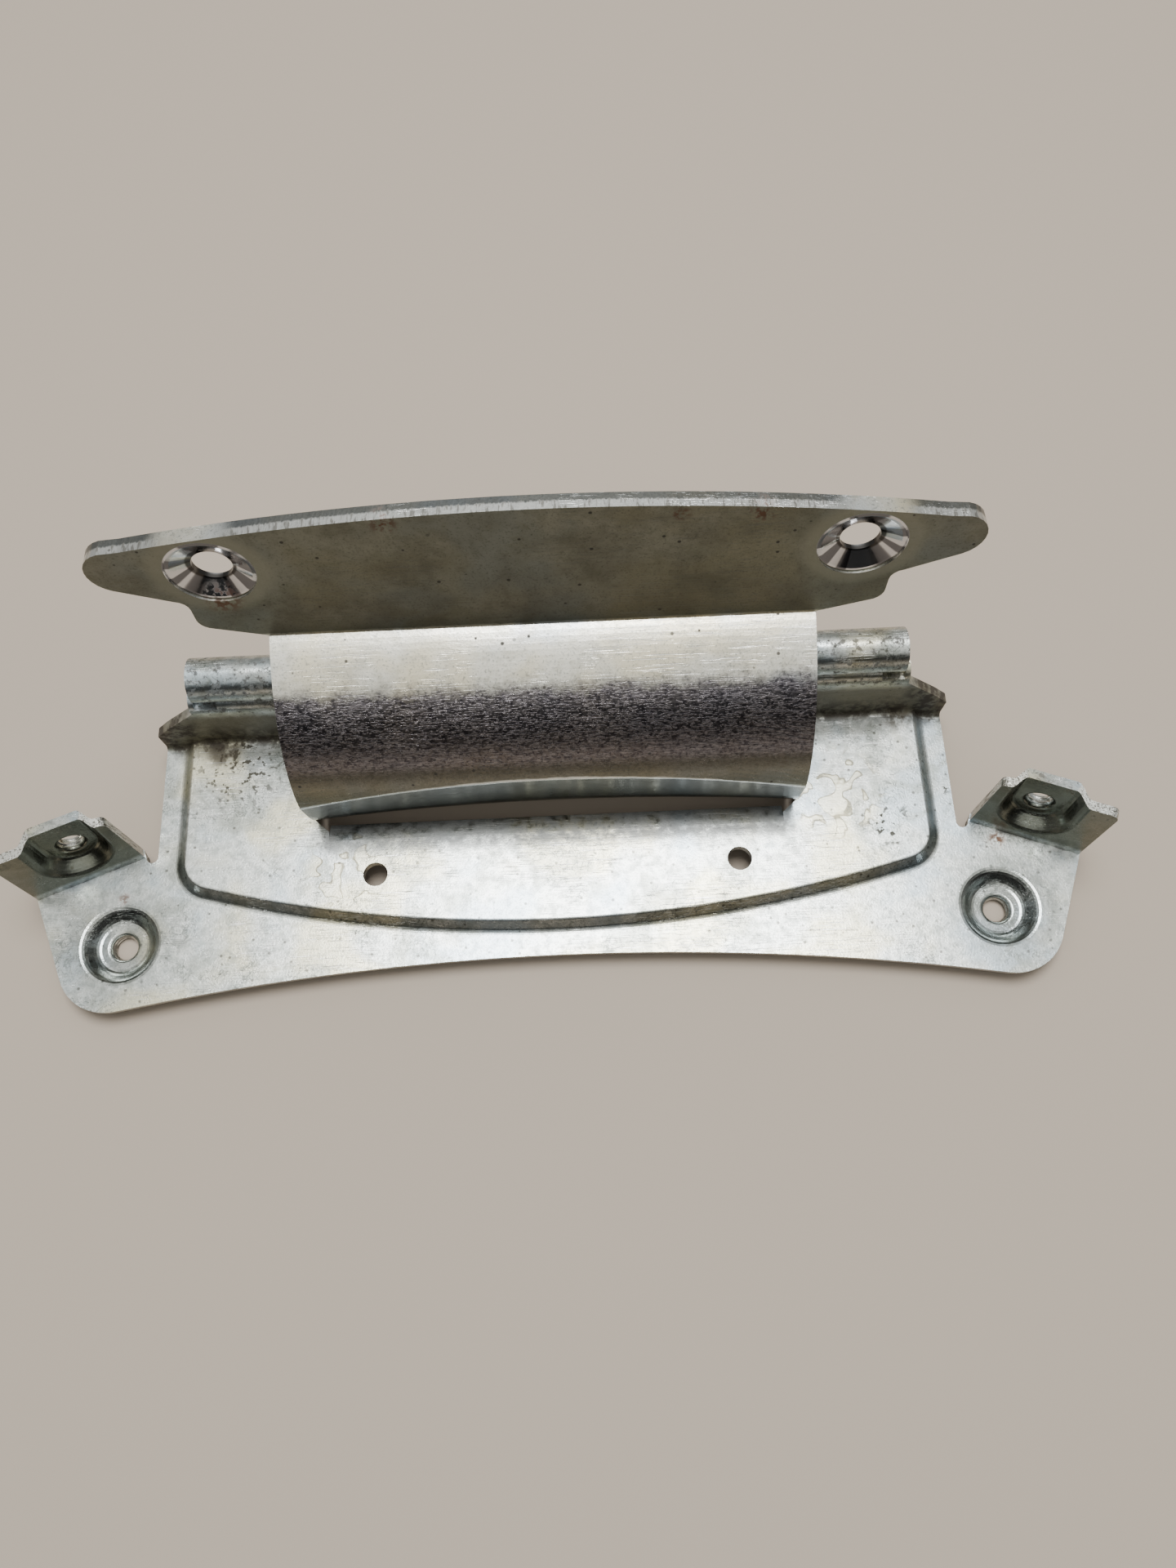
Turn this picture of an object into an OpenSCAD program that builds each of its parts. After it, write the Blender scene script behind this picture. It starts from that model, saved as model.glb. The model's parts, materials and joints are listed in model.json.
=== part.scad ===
/* [Bracket plate] */
// Thickness of the bracket's sheet
bracket_t = 1.75; // [1.5:0.05:2]
// Distance between the two screw dimples of the plate
dimple_gap = 150; // [148:1:152]
// Radius of the plate's hollow lower edge
edge_r = 444; // [430:1:460]
// How far the middle of the lower edge lies below the line of the dimples
edge_drop = 5; // [4.5:0.1:5.5]
// Radius of the plate's lower corners
corner_r = 9; // [8:0.5:9.5]
// Half the width over the upright side strips
strip_x = 69.8; // [69.5:0.1:70]
// Inner end of the tab's fold, across
fold_in_x = 71.9; // [71.8:0.05:72]
// Inner end of the tab's fold, above the line of the dimples
fold_in_y = 15.35; // [15.2:0.05:15.5]
// Outer end of the tab's fold, across
fold_out_x = 90.1; // [89.8:0.1:90.4]
// Outer end of the tab's fold, above the line of the dimples
fold_out_y = 8.4; // [8.2:0.1:8.6]

/* [Raised platform] */
// Height of the platform above the plate
platform_h = 2; // [1.8:0.1:2.2]
// Half the width of the platform
platform_x = 64.4; // [64:0.1:64.6]
// Radius of the platform's lower corners
platform_corner_r = 5; // [4:0.5:6]
// Radius of the platform's rounded lower edge
platform_edge_r = 229.2; // [225:0.2:235]
// Height of the lowest point of that edge above the line of the dimples
platform_edge_y = 0.8; // [0.6:0.1:1]
// Steepness of the platform's wall, in degrees
platform_slope = 52; // [45:1:60]
// Distance between the two plain holes of the platform
small_hole_gap = 62.6; // [62:0.1:63]
// Height of the plain holes above the line of the dimples
small_hole_y = 9.9; // [9.5:0.1:10.2]
// Diameter of the plain holes
small_hole_d = 4.2; // [4:0.1:4.4]
// Half the width of the window
window_x = 42.3; // [42.2:0.1:42.6]
// Where the window's bent-down lip starts
lip_y = 16.2; // [16:0.1:16.4]
// Outer radius of the lip's bend
lip_r = 5.5; // [5:0.1:6]
// How far the lip is bent, in degrees
lip_angle = 36; // [34:1:36]

/* [Screw dimples and tabs] */
// Radius of a dimple's rim
rim_r = 7; // [6.8:0.1:7.1]
// Radius of a dimple's flat floor
floor_r = 3.9; // [3.6:0.1:4.1]
// Depth of the plate's dimples
dimple_depth = 2; // [1.9:0.1:2.1]
// Radius of the rim of the tabs' open dimples
tab_rim_r = 6.5; // [6.3:0.1:6.7]
// Depth of the tabs' open dimples
tab_depth = 2.7; // [2.6:0.1:2.9]
// Core diameter of the threaded holes
thread_core_d = 4.2; // [4.1:0.05:4.3]
// Length of a drawn collar, below the dimple's floor
collar_length = 2.3; // [2.2:0.1:2.4]
// Outer radius of a drawn collar
collar_r = 3.2; // [3.1:0.1:3.3]
// Height of the tabs
tab_height = 15.6; // [15.4:0.1:16]
// How far the tabs are folded up, in degrees
tab_fold = 84; // [82:1:86]
// Distance of the tab's threaded hole from the inner end of the fold
tab_hole_along = 8.8; // [8.6:0.1:9]
// Height of the tab's threaded hole above the fold
tab_hole_up = 8.9; // [8.7:0.1:9.1]

/* [Knuckles and pin] */
// Distance of the pin's axis from the line of the dimples
pin_y = 40; // [39.8:0.1:40.2]
// Height of the pin's axis above the plate
pin_z = 18.8; // [18.6:0.1:19]
// Diameter of the pin
pin_d = 4; // [3.9:0.05:4.05]
// Play between the pin and the door leaf's knuckle, at the radius
pin_play = 0.05; // [0.03:0.01:0.08]
// Half the width over the bracket's knuckles
knuckle_x = 59.6; // [59.4:0.1:59.8]
// Half the width over the upper part of the back wall
wall_x = 61; // [60.8:0.1:61.2]
// Where the roll of a bracket knuckle ends, in degrees
roll_end = 218; // [212:1:220]
// Distance of the back wall's front face from the line of the dimples
wall_y = 36; // [35.9:0.05:36.1]

/* [Door leaf] */
// Thickness of the door leaf's sheet
leaf_t = 2.5; // [2.4:0.05:2.6]
// Half the width of the hood
hood_x = 41.6; // [41.4:0.1:41.6]
// Outer radius of the hood
hood_r = 27.5; // [27.4:0.1:27.6]
// Distance from the line of the dimples to where the hood bulges out most
hood_y = 17.7; // [17.6:0.1:17.8]
// Height of the hood's centre above the plate
hood_z = 10.4; // [10.2:0.1:10.6]
// Radius of the tail in plan
tail_r = 480; // [440:10:520]
// Distance from the line of the dimples to the tail's front face, in its middle, where it starts to turn in
tail_y = 20.4; // [20.3:0.1:20.6]
// Height of that place above the plate
tail_z = 7.8; // [7.7:0.1:8]
// How far the tail's upper stretch leans in, in degrees
tail_lean = 5.7; // [5:0.1:6]
// Radius of the tail's first, wide turn
tail_turn_r = 14; // [12:1:16]
// How far the tail's lower stretch leans in, in degrees
tail_tuck = 24; // [22:1:26]
// Length of that lower stretch
tuck_length = 2.2; // [2:0.1:2.3]
// Outer radius of the bend at the tail's foot
foot_r = 6; // [5.5:0.1:6.5]
// How far the flange leans back from upright, in degrees
flange_lean = 7; // [6:1:8]
// Height of the flange above its fold, in the middle
flange_height = 26.2; // [26:0.1:26.4]
// Radius of the flange's upper edge
flange_top_r = 317; // [310:1:325]
// Distance between the countersunk holes
door_hole_gap = 91.6; // [91:0.1:92]
// Height of the countersunk holes above the fold
door_hole_s = 15.5; // [15:0.1:16]
// Diameter of the countersunk holes' bore
door_hole_d = 5.8; // [5.6:0.1:6]
// Diameter of the countersunk holes' rim
sink_d = 12.6; // [12.2:0.1:13]

/* [Hidden] */
$fn = 96;
over = 20;
lap = 0.5;

collar_reach = dimple_depth + collar_length;
fold_in = [fold_in_x, fold_in_y];
fold_out = [fold_out_x, fold_out_y];
tab_hole = [tab_hole_along, tab_hole_up];
hood_centre = [hood_y + hood_r, hood_z];
tail_start = [tail_y, tail_z];
fold_turn = atan2(fold_out.y - fold_in.y, fold_out.x - fold_in.x);
fold_length = norm(fold_out - fold_in);
end_normal = [cos(fold_turn), sin(fold_turn)];
end_dir = [-end_normal.y, end_normal.x];
// The tab is a little narrower than the plate's end, so that the fold's corners stay clean
tab_inset = 0.16;
edge_centre = [0, -edge_drop - edge_r];
corner = corner_centre();
wall_root_r = 1;
strip_top = wall_y - wall_root_r;
notch_r = (fold_in.x - strip_x) / 2;
// The window's side edges widen from the lip's ends to the tail
lip_x = window_x - 2.8;
window_inner_y = 17.9;
window_flare_y = 20.4;

foot_fillet = 1.2;
top_round = 0.6;
platform_run =
    (platform_h - (foot_fillet + top_round) * (1 - cos(platform_slope))) / tan(platform_slope);
platform_centre_y = platform_edge_y + platform_edge_r;
platform_corner = platform_corner_centre();
platform_profile = concat(
    [for (a = [0 : 13 : platform_slope])
        [top_round * sin(platform_slope) + platform_run + foot_fillet * (sin(platform_slope) - sin(a)) - 0.2,
         foot_fillet * (1 - cos(a)) + 0.02]],
    [for (a = [platform_slope : -13 : 0])
        [top_round * sin(a) - 0.2, platform_h - top_round * (1 - cos(a))]]);
under_shift = bracket_t * tan(platform_slope / 2);

pin_inset = 0.6;
roll_r = pin_d / 2 + bracket_t;
shoulder_mid_r = 1.9;
shoulder_y = wall_y + bracket_t / 2 + shoulder_mid_r;
shoulder_z = pin_z - pin_d / 2 - bracket_t / 2 - shoulder_mid_r;
// The ear's slanting edge, from the strip's side to the knuckle
ear_low_z = 5;
ear_mid = [67.2, 7.9];
ear_high_z = 13.8;
shear_width = 3.4;
shear_z = 1.6;
shear_drop = 0.8;
collar_bend_r = 0.8;
tab_corner_r = 1.2;
tab_slant = 0.9;
tab_top_drop = 0.3;

pin_centre = [pin_y, pin_z];
leaf_bore_r = pin_d / 2 + pin_play;
turn_centre = tail_start + tail_turn_r * toward(tail_lean);
tuck_start = turn_centre - tail_turn_r * toward(tail_tuck);
foot_centre = tuck_start + tuck_length * [sin(tail_tuck), -cos(tail_tuck)] + foot_r * toward(tail_tuck);
web_line = pin_centre - foot_centre;
web_turn = heading(web_line) + asin((foot_r - leaf_t - leaf_bore_r) / norm(web_line));
tail_steps = 12;
hood_steps = 28;
roll_steps = 24;
leaf_roll_end = 262;
// Outer face of tail, foot, web and roll in the middle of the leaf: place and heading
leaf_path = concat(
    [for (i = [0 : 3]) let (b = tail_lean + (tail_tuck - tail_lean) * i / 3)
        [turn_centre - tail_turn_r * toward(b), b]],
    [for (i = [0 : 9]) let (b = tail_tuck + (web_turn + 90 - tail_tuck) * i / 9)
        [foot_centre - foot_r * toward(b), b]],
    [for (i = [0 : roll_steps]) let (b = web_turn + 90 + (leaf_roll_end + 90 - web_turn) * i / roll_steps)
        [pin_centre - (leaf_bore_r + leaf_t) * toward(b), b]]);
roll_start = len(leaf_path) - roll_steps - 1;
// What the bore is cut from, beyond the sheet's own thickness
bore_stock = 0.15;
fold_y = 38;
flange_top_x = 57;
flange_end_out = 1.8;
flange_end = [flange_top_x + flange_end_out, 16.6];
flange_end_r = 4.3;
throat = [53.3, 7.4];
throat_r = 2.1;
chin = [48.8, 4.9];
chin_r = 2.4;
slit = 0.3;
sink_rim = 0.35;
sink_floor = 1.7;
sink_lead = 0.6;
sink_step = 0.05;
fold_z = hood_centre.y + sqrt(pow(hood_r, 2) - pow(fold_y - hood_centre.x, 2));
fold_back = [fold_y, fold_z] + leaf_t * toward(-flange_lean);

// The corner circle touches both the end line and the hollow lower edge
function corner_centre() =
    let (reach = end_normal * fold_out - corner_r,
         far = edge_r + corner_r,
         along = end_dir * edge_centre,
         across = end_normal * edge_centre,
         step = sqrt(pow(far, 2) - pow(reach - across, 2)))
    end_normal * reach + end_dir * (along + step);

// The platform's corner circle touches its side and its rounded lower edge from inside
function platform_corner_centre() =
    let (x = platform_x - platform_corner_r, inner = platform_edge_r - platform_corner_r)
    [x, platform_centre_y - sqrt(pow(inner, 2) - pow(x, 2))];

function arc(c, r, a0, a1, n) = [for (i = [0 : n]) c + r * toward(a0 + (a1 - a0) * i / n)];
function toward(a) = [cos(a), sin(a)];
function mirrored(points) = [for (i = [len(points) - 1 : -1 : 0]) [-points[i].x, points[i].y]];
function heading(v) = atan2(v.y, v.x);

// Two triangles between the points i and j of one ring of points and those of the next
function between(ring, next, i, j) = [[ring + i, next + j, ring + j], [ring + i, next + i, next + j]];

// Outline of the platform, pushed out by d, up to the line y = top
function platform_outline(d, top) =
    let (c = platform_corner,
         turn = heading([c.x, c.y - platform_centre_y]),
         right = concat(arc([0, platform_centre_y], platform_edge_r + d, -90, turn, 10),
                        arc(c, platform_corner_r + d, turn + 8, 0, 6),
                        [[platform_x + d, top]]),
         left = mirrored(right))
    concat(left, [for (i = [1 : len(right) - 1]) right[i]]);

// Height of a dimple's face at the radius r: a cosine step from rim to floor
function dimple_z(r, depth, rim) =
    r >= rim ? 0 : r <= floor_r ? -depth : -depth * (1 - cos(180 * (rim - r) / (rim - floor_r))) / 2;

// Section of a dimple's sheet, from beyond the rim to the collar
function dimple_face(depth, rim) =
    concat([[rim + lap, 0]],
           [for (i = [0 : 8]) let (r = rim - (rim - floor_r) * i / 8) [r, dimple_z(r, depth, rim)]]);
function lowered(points, t) = [for (i = [len(points) - 1 : -1 : 0]) points[i] - [0, t]];

function plate_half() =
    concat([for (x = [0 : 5 : 70]) [x, edge_centre.y + sqrt(pow(edge_r, 2) - pow(x, 2))]],
           arc(corner, corner_r, heading(edge_centre - corner) , heading(end_normal), 12),
           [fold_out + lap * end_dir, fold_in + lap * end_dir],
           arc([strip_x + notch_r, fold_in.y], notch_r, 0, -180, 8),
           [[strip_x, strip_top + lap]]);

module plate_outline() {
    right = plate_half();
    polygon(concat(mirrored(right), [for (i = [1 : len(right) - 1]) right[i]]));
}

// Stack of platform outlines that follows the sloping wall, with its foot and its upper edge rounded
module platform_solid(shift, drop, base, top) {
    profile = concat([[platform_profile[0].x - shift, base]],
                     [for (p = platform_profile) [p.x - shift, p.y - drop]]);
    m = len(platform_outline(0, top));
    last = len(profile) - 1;
    polyhedron(
        points = [for (p = profile) for (q = platform_outline(p.x, top)) [q.x, q.y, p.y]],
        faces = concat(
            [[for (i = [0 : m - 1]) i]],
            [for (k = [0 : last - 1]) for (i = [0 : m - 1]) let (j = (i + 1) % m)
                each between(k * m, (k + 1) * m, i, j)],
            [[for (i = [m - 1 : -1 : 0]) last * m + i]]),
        convexity = 4);
}

// Window for the door leaf, open towards the pin, and the room that the bent lip takes
module window_cut() {
    right = [[lip_x, lip_y], [lip_x, window_inner_y], [window_x, window_flare_y], [window_x, pin_y + over]];
    translate([0, 0, -over]) linear_extrude(2 * over) polygon(concat(right, mirrored(right)));
}

// Sheet bent round a line along X: a ring sector from the angle a0 to a1, seen with Y right and Z up
module bend(y, z, r, t, a0, a1, x0, x1) {
    translate([x0, 0, 0])
        rotate([90, 0, 90])
            linear_extrude(x1 - x0)
                translate([y, z])
                    intersection() {
                        difference() {
                            circle(r + t);
                            circle(r);
                        }
                        polygon(concat([[0, 0]], arc([0, 0], 2 * (r + t), a0, a1, 6)));
                    }
}

// Block along X: from [y, z] over the size [dy, dz]
module bar(y, z, dy, dz, x0, x1) {
    translate([x0, y, z]) cube([x1 - x0, dy, dz]);
}

module lip() {
    bend(lip_y, platform_h - lip_r, lip_r - bracket_t, bracket_t, 90 - lip_angle, 90, -lip_x, lip_x);
    bar(lip_y - lap, platform_h - bracket_t, lap, bracket_t, -lip_x, lip_x);
}

// Back wall of one side: root bends at the height of the strip and of the platform, wall, shoulder and roll
module wall_strip(x0, x1, level) {
    bend(wall_y - wall_root_r, level + wall_root_r, wall_root_r, bracket_t, -90, 0, x0, x1);
    bar(wall_y - wall_root_r - lap, level - bracket_t, lap, bracket_t, x0, x1);
    bar(wall_y, level + wall_root_r, bracket_t, shoulder_z - level - wall_root_r, x0, x1);
}

module wall() {
    wall_strip(window_x, platform_x, platform_h);
    wall_strip(platform_x - lap, strip_x, 0);
    bend(shoulder_y, shoulder_z, shoulder_mid_r - bracket_t / 2, bracket_t, 90, 180, window_x, wall_x);
    bar(shoulder_y, pin_z - roll_r, pin_y - shoulder_y, bracket_t, window_x, knuckle_x);
    bend(pin_y, pin_z, pin_d / 2, bracket_t, -90, roll_end, window_x, knuckle_x);
}

module wall_with_ear() {
    intersection() {
        wall();
        translate([0, pin_y + over, 0])
            rotate([90, 0, 0])
                linear_extrude(2 * over + pin_y)
                    polygon([[window_x, -over], [strip_x, -over], [strip_x, ear_low_z], ear_mid,
                             [wall_x, ear_high_z], [wall_x, 2 * over], [window_x, 2 * over]]);
    }
}

// The roll's free edge is sheared off aslant at the outer end
module roll_corner_cut() {
    translate([0, pin_y - roll_r - lap, pin_z])
        rotate([90, 0, 180])
            linear_extrude(roll_r, center = true)
                polygon([[-knuckle_x - lap, -roll_r], [-knuckle_x + shear_width, -roll_r],
                         [-knuckle_x + shear_width, -shear_z - shear_drop], [-knuckle_x - lap, -shear_z]]);
}

module collar(depth) {
    core_r = thread_core_d / 2;
    translate([0, 0, -depth])
        rotate_extrude()
            polygon(concat([[floor_r + lap, 0], [collar_r, 0]],
                           arc([core_r + collar_bend_r, -collar_bend_r], collar_bend_r, 90, 180, 6),
                           [[core_r, -collar_length], [collar_r, -collar_length],
                            [collar_r, -bracket_t], [floor_r + lap, -bracket_t]]));
}

module dimple(depth, rim) {
    face = dimple_face(depth, rim);
    rotate_extrude() polygon(concat(face, lowered(face, bracket_t)));
    collar(depth);
}

// A tab's dimple runs out through its upper edge, so it is half a bowl and a channel
module tab_dimple() {
    face = dimple_face(tab_depth, tab_rim_r);
    up = tab_height - tab_hole.y;
    channel = concat(face, mirrored(face));
    intersection() {
        rotate_extrude() polygon(concat(face, lowered(face, bracket_t)));
        translate([-over, -over, -over]) cube([2 * over, over + 0.01, 2 * over]);
    }
    difference() {
        rotate([90, 0, 180]) linear_extrude(up) polygon(concat(channel, lowered(channel, bracket_t)));
        cylinder(r = collar_r, h = over, center = true);
    }
    collar(tab_depth);
}

module tab_outline() {
    top = tab_height - tab_corner_r;
    outer = fold_length - tab_inset;
    polygon(concat([[tab_inset, -lap], [outer, -lap], [outer, tab_corner_r]],
                   arc([fold_length + tab_slant / 2 - tab_corner_r, top], tab_corner_r, 0, 90, 5),
                   arc([tab_slant + tab_corner_r, top - tab_top_drop], tab_corner_r, 90, 180, 5),
                   [[tab_inset, tab_corner_r]]));
}

module tab() {
    translate([fold_in.x, fold_in.y, 0])
        rotate([0, 0, fold_turn])
            rotate([tab_fold, 0, 0]) {
                difference() {
                    translate([0, 0, -bracket_t]) linear_extrude(bracket_t) tab_outline();
                    translate([tab_hole.x, tab_hole.y, 0]) {
                        cylinder(r = tab_rim_r, h = over, center = true);
                        translate([-tab_rim_r, 0, -over]) cube([2 * tab_rim_r, over, 2 * over]);
                    }
                }
                intersection() {
                    translate([tab_hole.x, tab_hole.y, 0]) tab_dimple();
                    translate([0, 0, -over]) linear_extrude(2 * over) tab_outline();
                }
            }
    translate([fold_in.x, fold_in.y, 0])
        rotate([0, 0, fold_turn])
            intersection() {
                translate([tab_inset / 2, 0, 0])
                    rotate([0, 90, 0]) cylinder(r = bracket_t - 0.05, h = fold_length - tab_inset);
                translate([-over, -lap / 2, -over]) cube([3 * over, over, over - lap / 2]);
            }
}

module both_sides() {
    children();
    mirror([1, 0, 0]) children();
}

// The origin lies between the screw dimples, where the ends of their collars stand
module seat() {
    translate([0, 0, collar_reach]) children();
}

module bracket() {
    color("lightsteelblue")
        seat() difference() {
            union() {
                difference() {
                    union() {
                        translate([0, 0, -bracket_t]) linear_extrude(bracket_t) plate_outline();
                        platform_solid(0, 0, -lap, wall_y + lap);
                    }
                    platform_solid(under_shift, bracket_t, -over, strip_top);
                    window_cut();
                    both_sides()
                        translate([dimple_gap / 2, 0, 0]) cylinder(r = rim_r, h = over, center = true);
                }
                lip();
                both_sides() {
                    wall_with_ear();
                    tab();
                    translate([dimple_gap / 2, 0, 0]) dimple(dimple_depth, rim_r);
                }
            }
            both_sides() {
                translate([small_hole_gap / 2, small_hole_y, 0])
                    cylinder(d = small_hole_d, h = over, center = true);
                roll_corner_cut();
            }
        }
}

// How far a place of the tail lies nearer than its middle: the whole bow, fading out along the web
function bow(x, k) = k < roll_start ? pow(x, 2) / (2 * tail_r) : 0;

// Bent strip along X from closed sections of [y, z]: out along one face, back along the other, one odd point
module loft(sections, xs) {
    m = len(sections[0]);
    last = len(xs) - 1;
    pairs = (m - 1) / 2;
    cap = concat([for (i = [0 : pairs - 2]) each [[i, i + 1, m - 3 - i], [i, m - 3 - i, m - 2 - i]]],
                 [[0, m - 2, m - 1]]);
    polyhedron(
        points = [for (i = [0 : last]) for (q = sections[i]) [xs[i], q.x, q.y]],
        faces = concat(
            cap,
            [for (k = [0 : last - 1]) for (i = [0 : m - 1]) let (j = (i + 1) % m)
                each between(k * m, (k + 1) * m, i, j)],
            [for (f = cap) [last * m + f.z, last * m + f.y, last * m + f.x]]),
        convexity = 6);
}

// Where the line from p along d leaves the circle of radius r round the hood's centre
function leaves(p, d, r) =
    let (w = p - hood_centre, along = w * d)
    p + d * (sqrt(pow(along, 2) - w * w + r * r) - along);

// Stretch of the hood between two of its points, both on the circle of radius r
function hood_arc(p, q, r) =
    arc(hood_centre, r, heading(p - hood_centre), heading(q - hood_centre), hood_steps);

function leaf_face(x) = [for (k = [0 : len(leaf_path) - 1]) leaf_path[k][0] - [bow(x, k), 0]];
function leaf_back(x) =
    [for (k = [len(leaf_path) - 1 : -1 : 0]) let (stock = k < roll_start ? 0 : bore_stock)
        leaf_path[k][0] - [bow(x, k), 0] + (leaf_t + stock) * toward(leaf_path[k][1])];

// Section of the leaf below its fold: hood, crease, tail, foot and web
function leaf_section(x) =
    let (up = toward(tail_lean + 90),
         start = tail_start - [bow(x, 0), 0],
         inner = hood_r - leaf_t,
         fold = [fold_y, fold_z],
         back_end = leaves(fold_back - over * toward(90 - flange_lean), toward(90 - flange_lean), inner),
         crease = leaves(start, up, hood_r),
         back_crease = leaves(start + leaf_t * toward(tail_lean), up, inner))
    concat(hood_arc(fold, crease, hood_r), leaf_face(x), leaf_back(x),
           hood_arc(back_crease, back_end, inner), [fold_back]);

// Hood, tail, foot, web and roll are one strip of even thickness
module strip() {
    xs = [for (i = [0 : tail_steps]) hood_x * (2 * i / tail_steps - 1)];
    loft([for (x = xs) leaf_section(x)], xs);
}

// Right half of the flange: arched upper edge, rounded end, throat, chin and the slit over the fold's end
function flange_half() =
    let (rise = [for (i = [0 : 12]) flange_top_x * i / 12])
    concat([for (x = rise) [x, flange_height - flange_top_r + sqrt(pow(flange_top_r, 2) - pow(x, 2))]],
           arc(flange_end, flange_end_r, 75, -65, 10),
           arc(throat, throat_r, 100, 180, 4),
           arc(chin, chin_r, 0, -80, 5),
           [[hood_x + slit, slit], [hood_x - slit, -slit]]);

module flange_outline() {
    right = flange_half();
    polygon(concat(mirrored(right), [for (i = [1 : len(right) - 1]) right[i]]));
}

// Places its children on the flange: X across, Y up the flange, Z out of its front face
module on_flange() {
    translate([0, fold_y, fold_z]) rotate([90 - flange_lean, 0, 0]) children();
}

module flange() {
    on_flange()
        difference() {
            translate([0, 0, -leaf_t]) linear_extrude(leaf_t) flange_outline();
            both_sides() translate([door_hole_gap / 2, door_hole_s, 0]) countersink();
        }
}

module countersink() {
    rotate_extrude()
        polygon([[0, lap], [sink_d / 2, lap], [sink_d / 2, -sink_rim],
                 [sink_d / 2 - sink_lead, -sink_rim - sink_step], [door_hole_d / 2, -sink_floor],
                 [door_hole_d / 2, -leaf_t - lap], [0, -leaf_t - lap]]);
}

module door_leaf() {
    color("gainsboro") seat() {
        difference() {
            strip();
            translate([-over - hood_x, pin_y, pin_z])
                rotate([0, 90, 0]) cylinder(r = leaf_bore_r, h = 2 * (over + hood_x));
        }
        flange();
    }
}

module hinge_pin() {
    color("slategray")
        seat() translate([-knuckle_x + pin_inset, pin_y, pin_z])
            rotate([0, 90, 0]) cylinder(d = pin_d, h = 2 * (knuckle_x - pin_inset));
}

bracket();
door_leaf();
hinge_pin();
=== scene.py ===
import json
import math
from types import SimpleNamespace

import bpy
import numpy as np
from mathutils import Matrix, Vector


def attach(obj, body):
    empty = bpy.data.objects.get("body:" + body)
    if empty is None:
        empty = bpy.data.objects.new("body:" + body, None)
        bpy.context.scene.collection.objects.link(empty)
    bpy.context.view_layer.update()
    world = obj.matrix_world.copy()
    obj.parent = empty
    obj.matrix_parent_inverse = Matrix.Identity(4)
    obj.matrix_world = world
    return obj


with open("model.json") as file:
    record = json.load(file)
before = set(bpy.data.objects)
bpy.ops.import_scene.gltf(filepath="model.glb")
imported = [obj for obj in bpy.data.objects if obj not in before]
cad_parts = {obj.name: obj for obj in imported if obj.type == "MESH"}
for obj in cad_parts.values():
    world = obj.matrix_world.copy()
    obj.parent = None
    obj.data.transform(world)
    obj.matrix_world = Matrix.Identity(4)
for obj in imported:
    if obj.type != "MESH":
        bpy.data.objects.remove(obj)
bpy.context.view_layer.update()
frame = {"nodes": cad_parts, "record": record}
nodes = frame["nodes"]
mounts = {m["name"]: m for m in frame["record"]["mounts"]}
print("frame loaded:", sorted(nodes))

mm = 0.001
dimpleX = mounts["panel_screws"]["dims"]["spacing_x_mm"] / 2
plateTop = 4.3  # the plate's front face, above the ends of its collars


def linearColour(hexCode):
    # sRGB hex to linear light, with alpha 1
    channels = [int(hexCode[i:i + 2], 16) / 255 for i in (1, 3, 5)]
    return [c / 12.92 if c <= 0.04045 else ((c + 0.055) / 1.055) ** 2.4 for c in channels] + [1.0]


def feed(tree, node, inputs):
    # inputs go by name or number, and each is a value or the output that feeds it
    for name, value in inputs.items():
        if isinstance(value, bpy.types.NodeSocket):
            tree.links.new(value, node.inputs[name])
        else:
            node.inputs[name].default_value = value


def addNode(tree, kind, inputs=None, **settings):
    # adds one shader node and gives back its outputs
    node = tree.nodes.new("ShaderNode" + kind)
    for name, value in settings.items():
        setattr(node, name, value)
    feed(tree, node, inputs or {})
    return node.outputs


# Camera: the place and turn that the photo was taken from, solved from the plate and the holes
photo = {
    "height": 1920,
    "focal": 1442,  # in the photo's pixels
    "place": (6.02, -47.42, 200.61),
    "roll": 2.5356,
    "yaw": -0.0535,
    "pitch": -20.3612,
}


def makeCamera():
    turn = (Matrix.Rotation(math.radians(photo["roll"]), 4, "Z")
            @ Matrix.Rotation(math.radians(photo["yaw"]), 4, "Y")
            @ Matrix.Rotation(math.radians(photo["pitch"]), 4, "X"))
    data = bpy.data.cameras.new("photoCamera")
    data.sensor_width = 36.0
    data.lens = data.sensor_width * photo["focal"] / photo["height"]
    data.clip_start = 0.01
    data.clip_end = 20.0
    camera = bpy.data.objects.new("photoCamera", data)
    camera.matrix_world = Matrix.Translation(Vector(photo["place"]) * mm) @ turn.transposed()
    bpy.context.scene.collection.objects.link(camera)
    bpy.context.scene.camera = camera


makeCamera()
print("camera made")


# Floor and light, in metres: a pale table, a bright soft ceiling and a dark side behind the photographer
studio = {
    "floorColour": "#aa9e90",
    "floorRoughness": 0.75,
    "floorSize": 1.6,
    "skyColour": "#f6f5f0",
    "skyTop": 1.15,
    "skyFront": 0.03,
    "skyBack": 0.5,
    "frontToBack": (-0.45, 0.25),  # Y of the direction, where the dark side turns into the bright one
    "sideToTop": (0.52, 0.78),  # Z of the direction, where the sides turn into the ceiling
    "lampPower": 8.0,
    "lampSize": 0.42,
    "lampPlace": (0.02, 0.17, 0.84),
}


def makeFloor():
    half = studio["floorSize"] / 2
    corners = [(-half, -half, 0), (half, -half, 0), (half, half, 0), (-half, half, 0)]
    mesh = bpy.data.meshes.new("floor")
    mesh.from_pydata(corners, [], [(0, 1, 2, 3)])
    floor = bpy.data.objects.new("floor", mesh)
    bpy.context.scene.collection.objects.link(floor)
    table = bpy.data.materials.new("matteTable")
    table.use_nodes = True
    feed(table.node_tree, table.node_tree.nodes["Principled BSDF"], {
        "Base Color": linearColour(studio["floorColour"]), "Roughness": studio["floorRoughness"]})
    mesh.materials.append(table)


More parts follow.
